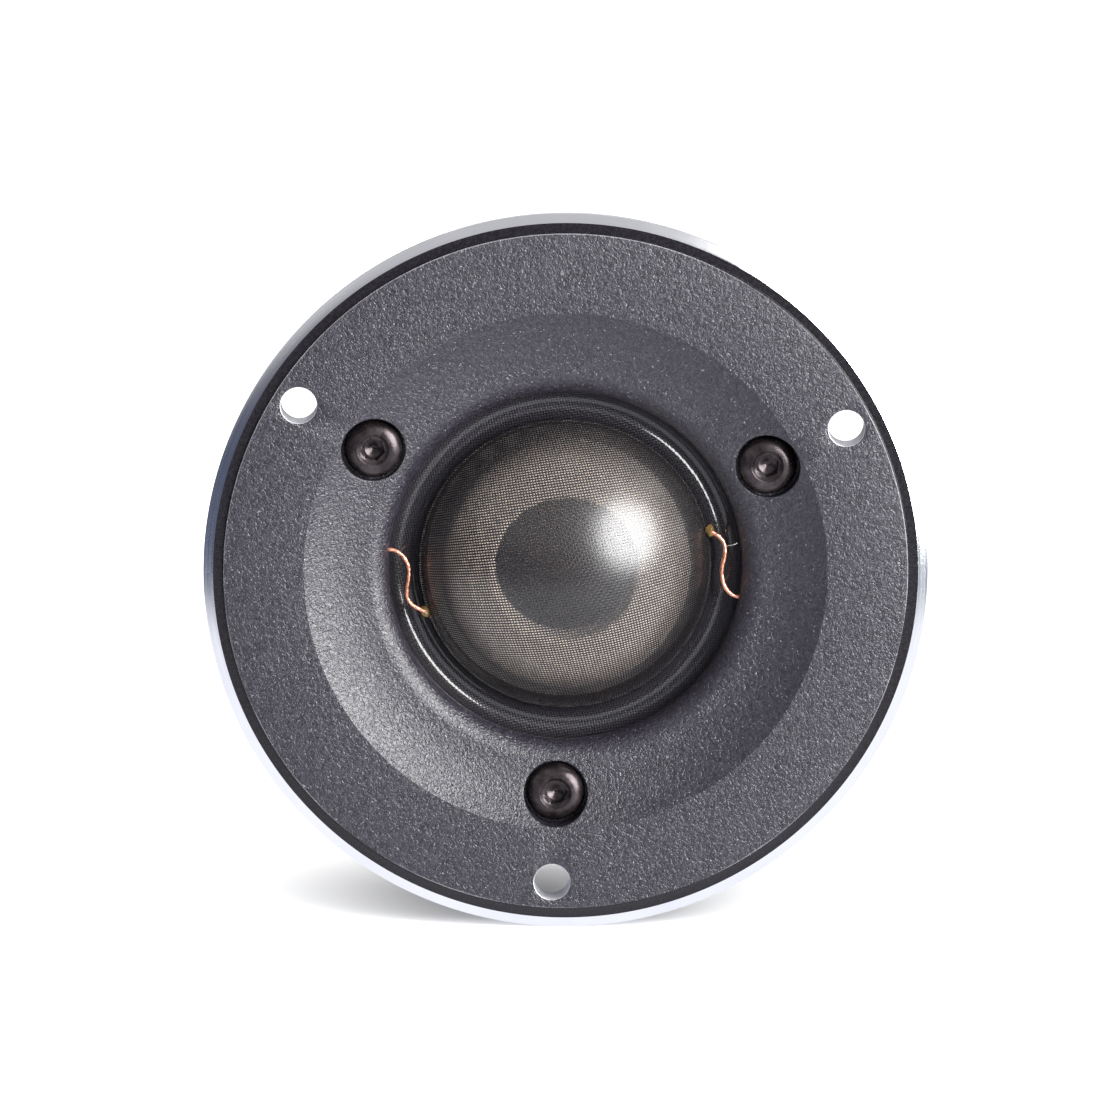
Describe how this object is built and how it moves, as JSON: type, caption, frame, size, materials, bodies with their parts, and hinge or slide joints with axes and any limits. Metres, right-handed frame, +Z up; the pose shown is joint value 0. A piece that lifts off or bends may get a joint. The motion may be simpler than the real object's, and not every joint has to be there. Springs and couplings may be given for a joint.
{
  "type": "car tweeter",
  "caption": "Round flush-mount dome tweeter with a waveguide flange, woven dome, exposed copper leads and a rear chamber.",
  "frame": {"origin": "centre of the flange's rear seating face, on the acoustic axis", "axes": "+Y along the acoustic axis from the face to the rear, +Z up, +X to the right as seen from the front"},
  "size_m": [0.07, 0.0476, 0.07],
  "materials": {
    "powder_coat": "textured black powder coat with a bare turned rim",
    "black_steel": "black oxide, glossy",
    "dome_cloth": "woven and coated",
    "ring_plastic": "moulded",
    "aluminium_foil": "thin rolled",
    "copper": "bare copper",
    "amber_glue": "clear amber",
    "tinned_brass": "tinned",
    "plated_steel": "zinc plated",
    "magnet_nickel": "nickel plated",
    "felt": "wool felt",
    "cup_coat": "black anodised",
    "board": "glass-fibre laminate",
    "wire_red": "insulated",
    "wire_black": "insulated"
  },
  "bodies": {
    "frame": {"faceplate": "powder_coat", "faceplate_screws": "black_steel", "surround": "dome_cloth", "surround_ring": "ring_plastic", "lead_wire_left": "copper", "lead_wire_right": "copper", "solder_tab_left": "tinned_brass", "solder_tab_right": "tinned_brass", "top_plate": "plated_steel", "magnet": "magnet_nickel", "yoke": "plated_steel", "copper_sleeve": "copper", "pole_felt": "felt", "rear_cup": "cup_coat", "cup_screws": "black_steel", "chamber_felt": "felt", "terminal_board": "board", "terminal_positive": "tinned_brass", "terminal_negative": "tinned_brass", "terminal_rivets": "tinned_brass", "inner_wire_left": "wire_red", "inner_wire_right": "wire_black"},
    "diaphragm": {"dome": "dome_cloth", "coil_former": "aluminium_foil", "voice_coil": "copper", "lead_glue": "amber_glue"}
  },
  "joints": [
    {"name": "dome_stroke", "type": "slide", "parent": "frame", "child": "diaphragm", "axis": [0, 1, 0], "range_m": [-0.0004, 0.0004], "stiffness_N_per_m": 4000, "deforming": ["surround", "lead_wire_left", "lead_wire_right"]}
  ]
}
